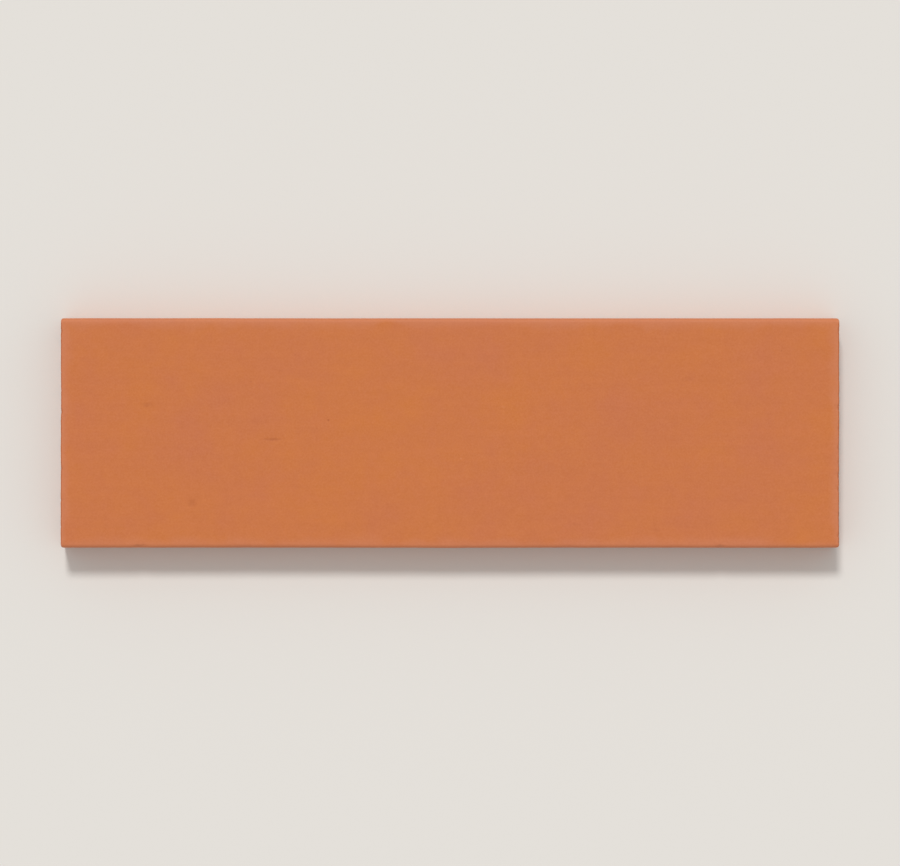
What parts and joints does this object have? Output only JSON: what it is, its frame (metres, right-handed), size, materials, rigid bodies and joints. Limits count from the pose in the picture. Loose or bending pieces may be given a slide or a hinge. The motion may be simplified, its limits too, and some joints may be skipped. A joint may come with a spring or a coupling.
{
  "type": "clinker tile",
  "caption": "Flat fired-clay facing tile in orange clinker: smooth face, rounded long edges, wire-cut ends and dovetail keying grooves along the back.",
  "frame": {"origin": "middle of the back, on the plane that the tile is bedded on", "axes": "+X along the tile's length, +Y up the face as the tile is laid in a wall, +Z out of the visible face"},
  "size_m": [0.24, 0.071, 0.014],
  "materials": {
    "fired_clay": "matte"
  },
  "bodies": {
    "root": {"clinker_tile": "fired_clay"}
  },
  "joints": []
}
